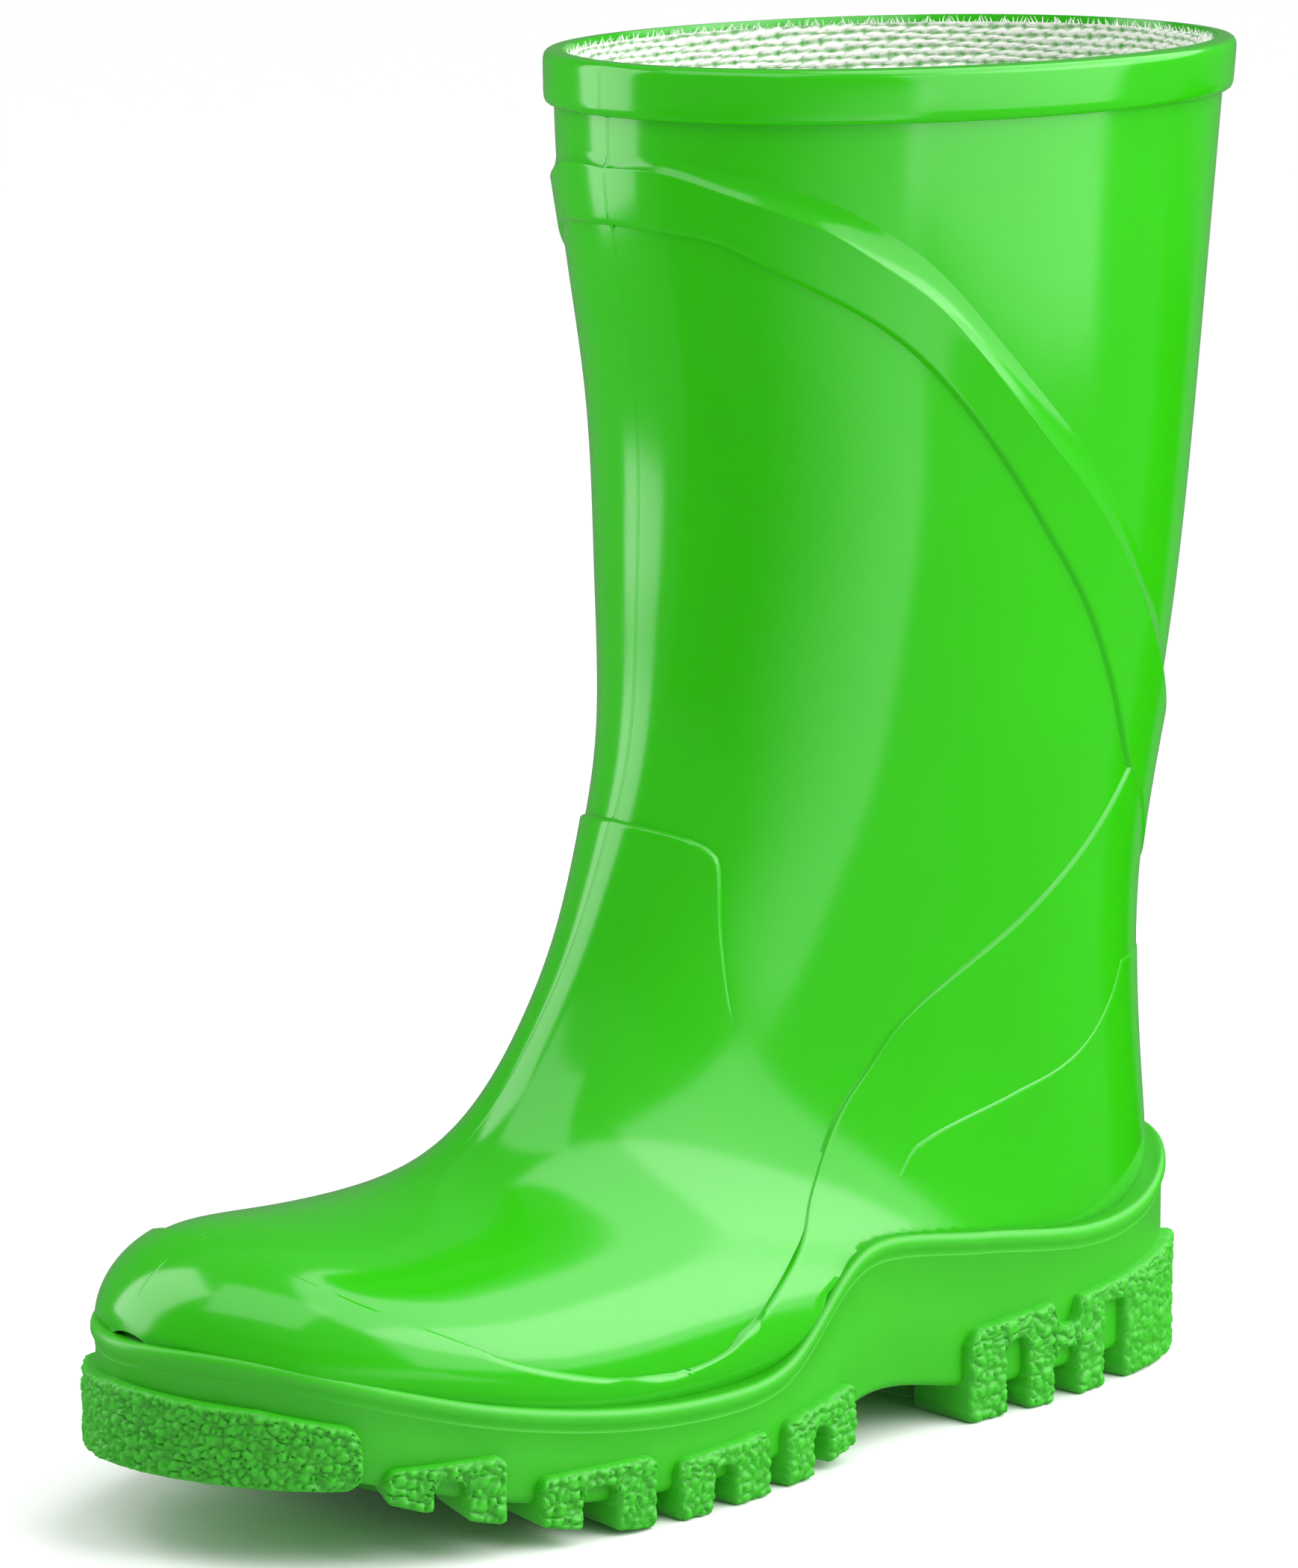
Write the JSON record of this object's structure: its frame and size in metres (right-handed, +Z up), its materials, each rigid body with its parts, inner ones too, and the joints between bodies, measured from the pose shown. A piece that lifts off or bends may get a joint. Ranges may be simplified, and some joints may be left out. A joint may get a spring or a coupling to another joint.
{
  "type": "rubber rain boot",
  "caption": "Pull-on rain boot for a child's left foot: glossy moulded upper with cuff and raised bands, knitted lining, loose insole, lugged outsole.",
  "frame": {"origin": "on the ground under the ball of the foot, in the plane of the mould's parting line", "axes": "+Z up the leg, toe along -Y, heel along +Y, outer side of the left foot along +X"},
  "size_m": [0.0996, 0.2388, 0.2405],
  "materials": {
    "upper_pvc": "glossy, polished mould",
    "sole_pvc": "satin",
    "lug_pvc": "coarse pebbled grain",
    "knit": "rib knit",
    "felt": "needled felt"
  },
  "bodies": {
    "boot": {"upper_shell": "upper_pvc", "cuff_band": "upper_pvc", "sweep_band": "upper_pvc", "vamp_panel": "upper_pvc", "toe_cap": "upper_pvc", "lateral_quarter": "upper_pvc", "medial_quarter": "upper_pvc", "heel_counter": "upper_pvc", "knit_lining": "knit", "outsole": "sole_pvc", "forefoot_bar_1": "sole_pvc", "forefoot_bar_2": "sole_pvc", "forefoot_bar_3": "sole_pvc", "forefoot_bar_4": "sole_pvc", "heel_bar_1": "sole_pvc", "heel_bar_2": "sole_pvc", "heel_bar_3": "sole_pvc", "toe_bumper": "lug_pvc", "lateral_lug_1": "lug_pvc", "lateral_lug_2": "lug_pvc", "lateral_lug_3": "lug_pvc", "lateral_lug_4": "lug_pvc", "medial_lug_1": "lug_pvc", "medial_lug_2": "lug_pvc", "medial_lug_3": "lug_pvc", "medial_lug_4": "lug_pvc", "lateral_heel_lug": "lug_pvc", "medial_heel_lug": "lug_pvc"},
    "insole": {"insole": "felt"}
  },
  "joints": [
    {"name": "insole_lift", "type": "hinge", "parent": "boot", "child": "insole", "pos_m": [0, -0.096, 0.03], "axis": [1, 0, 0], "range_deg": [0, 6]}
  ]
}
